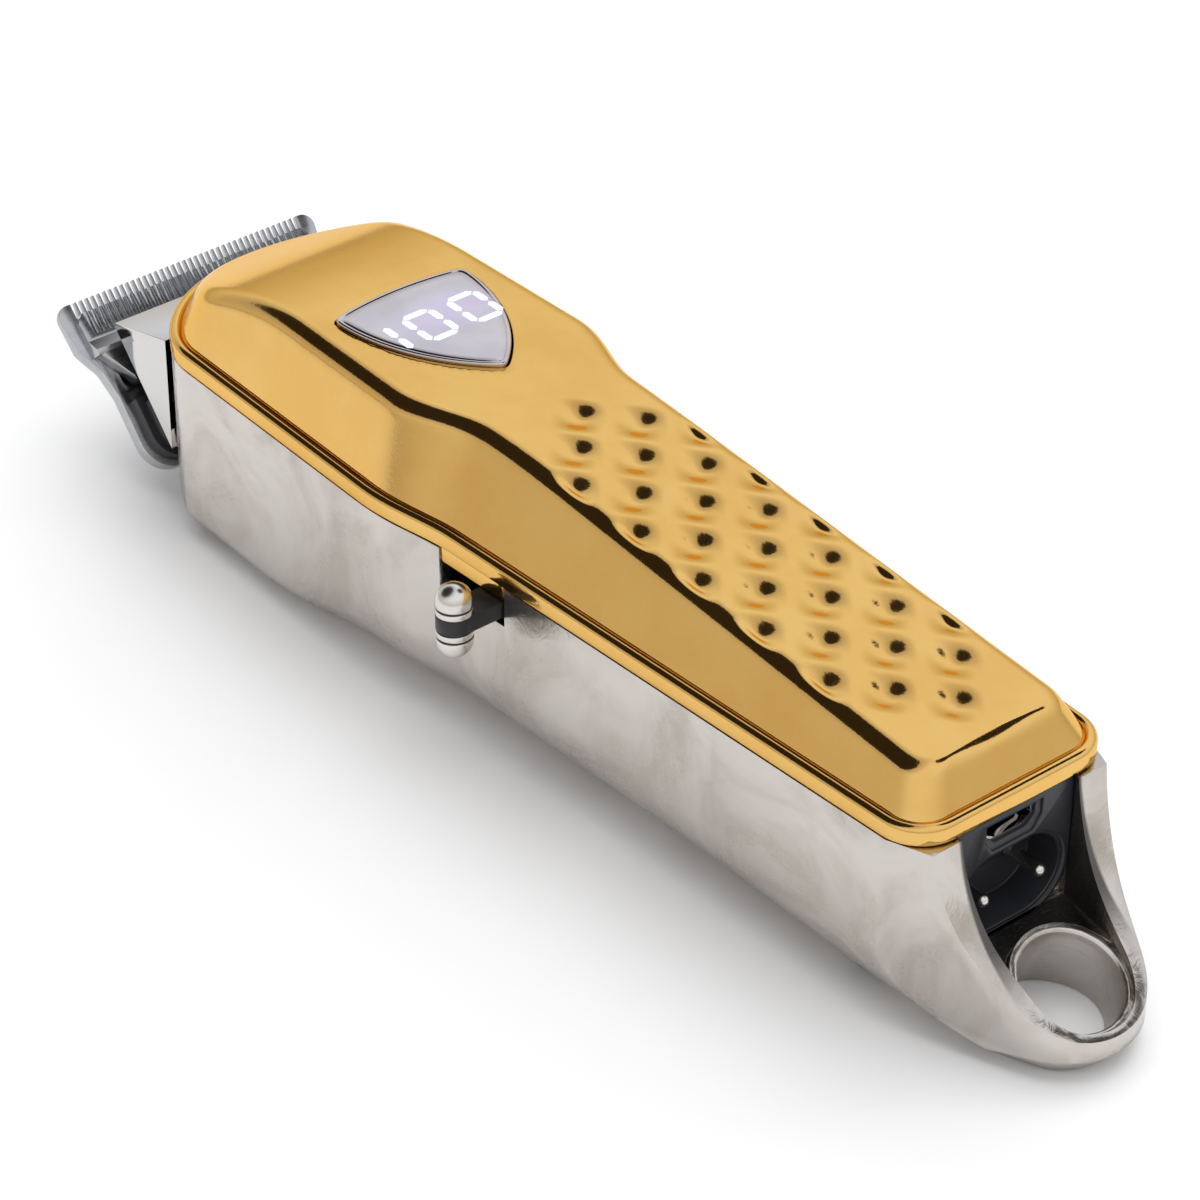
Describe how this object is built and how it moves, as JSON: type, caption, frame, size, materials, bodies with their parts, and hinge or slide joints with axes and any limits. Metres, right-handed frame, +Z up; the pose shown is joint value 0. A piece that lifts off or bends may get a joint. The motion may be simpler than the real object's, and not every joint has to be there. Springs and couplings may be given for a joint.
{
  "type": "cordless hair clipper",
  "caption": "Slim cordless hair clipper: cast metal body with a dimpled mirror cover, wide toothed blade, side taper lever, display button and a hanging ring at the tail.",
  "frame": {"origin": "on the flat belly, in the plane of symmetry, half way along the clipper", "axes": "+X along the clipper from blade to hanging ring, +Y to the side away from the taper lever, +Z up through the top cover"},
  "size_m": [0.1849, 0.0477, 0.0417],
  "materials": {
    "gold_cover": "mirror gold plating",
    "cast_shell": "hazy polished nickel over casting",
    "nose_chrome": "polished chrome",
    "blade_steel": "ground and polished",
    "screw_steel": "zinc plated",
    "spring_steel": "blued spring",
    "knob_chrome": "polished chrome",
    "button_mirror": "half-mirror window",
    "black_plastic": "fine satin",
    "panel_gloss": "gloss black",
    "black_rubber": "soft black",
    "follower_plastic": "natural acetal",
    "frame_plastic": "filled nylon",
    "pin_metal": "nickel",
    "led_light": "lit diffuser",
    "led_body": "black",
    "board_green": "solder mask",
    "chip_black": "moulded",
    "motor_steel": "plated",
    "brass_cam": "turned",
    "cell_wrap": "shrink film"
  },
  "bodies": {
    "housing": {"lower_housing": "cast_shell", "top_cover": "gold_cover", "cover_gasket": "black_rubber", "nose_cap": "nose_chrome", "rear_panel": "panel_gloss", "charging_pins": "pin_metal", "usb_socket": "pin_metal", "housing_screws": "screw_steel", "lever_pivot_screw": "screw_steel", "lever_detent": "spring_steel", "led_digits": "led_light", "led_module": "led_body", "display_board": "board_green", "tact_switch": "chip_black", "motor_can": "motor_steel", "motor_end_cap": "frame_plastic", "motor_mount": "frame_plastic", "motor_screws": "screw_steel", "battery_cell": "cell_wrap", "battery_tray": "frame_plastic", "main_board": "board_green", "board_parts": "chip_black", "charging_board": "board_green"},
    "blade_set": {"fixed_blade": "blade_steel", "blade_carrier": "black_plastic", "blade_screws": "screw_steel", "tension_spring": "spring_steel", "spring_screws": "screw_steel"},
    "cutter": {"moving_cutter": "blade_steel", "cutter_follower": "follower_plastic"},
    "rotor": {"motor_shaft": "screw_steel", "drive_cam": "brass_cam"},
    "button": {"display_button": "button_mirror"},
    "lever": {"taper_lever": "black_plastic", "knob_upper": "knob_chrome", "knob_lower": "knob_chrome", "knob_rings": "black_rubber"},
    "link": {"adjuster_link": "spring_steel"}
  },
  "joints": [
    {"name": "lever_swing", "type": "hinge", "parent": "housing", "child": "lever", "pos_m": [0, -0.01, 0.0238], "axis": [0, 0, -1], "range_deg": [0, 32]},
    {"name": "link_slide", "type": "slide", "parent": "housing", "child": "link", "axis": [1, 0, 0], "range_m": [0, 0.0024]},
    {"name": "blade_slide", "type": "slide", "parent": "housing", "child": "blade_set", "axis": [0.6691, 0, -0.7431], "range_m": [0, 0.0015]},
    {"name": "cutter_slide", "type": "slide", "parent": "blade_set", "child": "cutter", "axis": [0, 1, 0], "range_m": [-0.0011, 0.0011]},
    {"name": "rotor_spin", "type": "hinge", "parent": "housing", "child": "rotor", "pos_m": [-0.07, 0, 0.02], "axis": [1, 0, 0], "continuous": true},
    {"name": "button_press", "type": "slide", "parent": "housing", "child": "button", "axis": [0, 0, -1], "range_m": [0, 0.0005], "stiffness_N_per_m": 800}
  ],
  "couplings": [
    {"joint": "lever_swing", "follows": "blade_slide", "rad_per_m": 370.37},
    {"joint": "link_slide", "follows": "blade_slide", "ratio": 1.5185}
  ]
}
